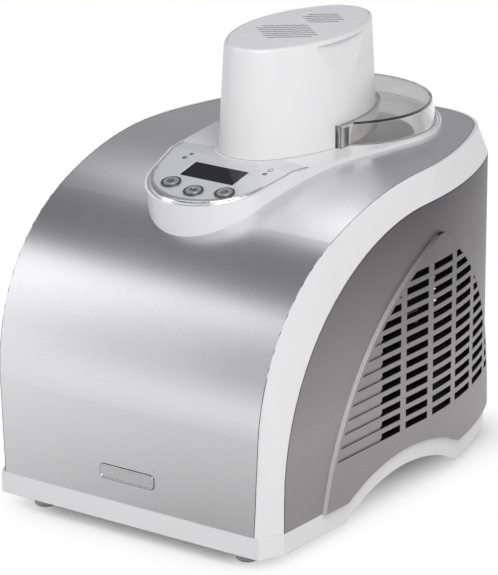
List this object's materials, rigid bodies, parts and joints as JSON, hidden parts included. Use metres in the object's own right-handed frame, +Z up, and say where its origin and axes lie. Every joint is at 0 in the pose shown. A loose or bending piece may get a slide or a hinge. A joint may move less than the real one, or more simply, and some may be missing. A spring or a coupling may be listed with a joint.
{
  "type": "ice cream maker",
  "caption": "Table-top compressor ice cream maker with an arched metal front, slotted side grilles, control island, lift-off motor tower, clear lid, lift-out bowl and paddle.",
  "frame": {"origin": "middle of the footprint on the floor, under the feet", "axes": "+X to the object's right side as seen from its front, +Y from the front to the back, +Z up"},
  "size_m": [0.285, 0.4016, 0.3743],
  "materials": {
    "white_plastic": "semi-gloss moulded",
    "steel_cover": "satin, brushed across",
    "grey_plastic": "satin grey",
    "foot_rubber": "soft light grey",
    "silver_film": "silver film",
    "bright_chrome": "polished",
    "dark_window": "dark display window",
    "button_plastic": "silver caps",
    "lens_plastic": "small clear lenses",
    "vent_plastic": "pale lilac-grey",
    "clear_plastic": "smoky clear",
    "bowl_aluminium": "satin",
    "paddle_plastic": "white nylon",
    "zinc_steel": "zinc plated",
    "black_paint": "black",
    "foam": "cream foam",
    "copper": "copper tube",
    "board_green": "circuit board"
  },
  "bodies": {
    "housing": {"base_tray": "white_plastic", "rubber_feet": "foot_rubber", "housing_screws": "zinc_steel", "main_shell": "white_plastic", "metal_cover": "steel_cover", "badge_plate": "steel_cover", "side_panel_left": "grey_plastic", "side_panel_right": "grey_plastic", "rear_panel": "grey_plastic", "cord_gland": "foot_rubber", "top_island": "white_plastic", "control_fascia": "silver_film", "chrome_trim": "bright_chrome", "display_window": "dark_window", "display_module": "board_green", "control_board": "board_green", "button_rings": "bright_chrome", "indicator_lenses": "lens_plastic", "freezing_well": "bowl_aluminium", "evaporator_jacket": "bowl_aluminium", "insulation_jacket": "foam", "well_stand": "zinc_steel", "compressor": "black_paint", "compressor_mounts": "foot_rubber", "fan_frame": "black_paint", "condenser": "bowl_aluminium", "pipes": "copper", "power_board": "board_green"},
    "fan": {"fan_rotor": "black_paint"},
    "bowl": {"mixing_bowl": "bowl_aluminium"},
    "paddle": {"mixing_paddle": "paddle_plastic"},
    "lid": {"clear_lid": "clear_plastic"},
    "motor_unit": {"tower_shell": "white_plastic", "tower_top_plate": "vent_plastic", "tower_plugs": "white_plastic", "tower_base_plate": "paddle_plastic", "gear_plate": "zinc_steel", "drive_motor": "zinc_steel"},
    "output": {"output_gear": "zinc_steel"},
    "idler": {"idler_gear": "paddle_plastic"},
    "pinion": {"motor_pinion": "paddle_plastic"},
    "left_button": {"button_left": "button_plastic"},
    "middle_button": {"button_middle": "button_plastic"},
    "right_button": {"button_right": "button_plastic"}
  },
  "joints": [
    {"name": "bowl_lift", "type": "slide", "parent": "housing", "child": "bowl", "axis": [0, 0, 1], "range_m": [0, 0.14]},
    {"name": "paddle_spin", "type": "hinge", "parent": "bowl", "child": "paddle", "pos_m": [0, 0.094, 0.2], "axis": [0, 0, 1], "continuous": true},
    {"name": "lid_lift", "type": "slide", "parent": "bowl", "child": "lid", "axis": [0, 0, 1], "range_m": [0, 0.06]},
    {"name": "motor_lift", "type": "slide", "parent": "lid", "child": "motor_unit", "axis": [0, 0, 1], "range_m": [0, 0.06]},
    {"name": "output_spin", "type": "hinge", "parent": "motor_unit", "child": "output", "pos_m": [0, 0.094, 0.295], "axis": [0, 0, 1], "continuous": true},
    {"name": "idler_spin", "type": "hinge", "parent": "motor_unit", "child": "idler", "pos_m": [0, 0.059, 0.3], "axis": [0, 0, 1], "continuous": true},
    {"name": "pinion_spin", "type": "hinge", "parent": "motor_unit", "child": "pinion", "pos_m": [0, 0.0265, 0.305], "axis": [0, 0, 1], "continuous": true},
    {"name": "fan_spin", "type": "hinge", "parent": "housing", "child": "fan", "pos_m": [0.087, 0.006, 0.08585], "axis": [1, 0, 0], "continuous": true},
    {"name": "left_press", "type": "slide", "parent": "housing", "child": "left_button", "axis": [0, 0.2206, -0.9754], "range_m": [0, 0.0015], "stiffness_N_per_m": 400},
    {"name": "middle_press", "type": "slide", "parent": "housing", "child": "middle_button", "axis": [0, 0.2206, -0.9754], "range_m": [0, 0.0015], "stiffness_N_per_m": 400},
    {"name": "right_press", "type": "slide", "parent": "housing", "child": "right_button", "axis": [0, 0.2206, -0.9754], "range_m": [0, 0.0015], "stiffness_N_per_m": 400}
  ],
  "couplings": [
    {"joint": "output_spin", "follows": "paddle_spin", "ratio": 1},
    {"joint": "idler_spin", "follows": "paddle_spin", "ratio": -2.5},
    {"joint": "pinion_spin", "follows": "paddle_spin", "ratio": 5.625}
  ]
}
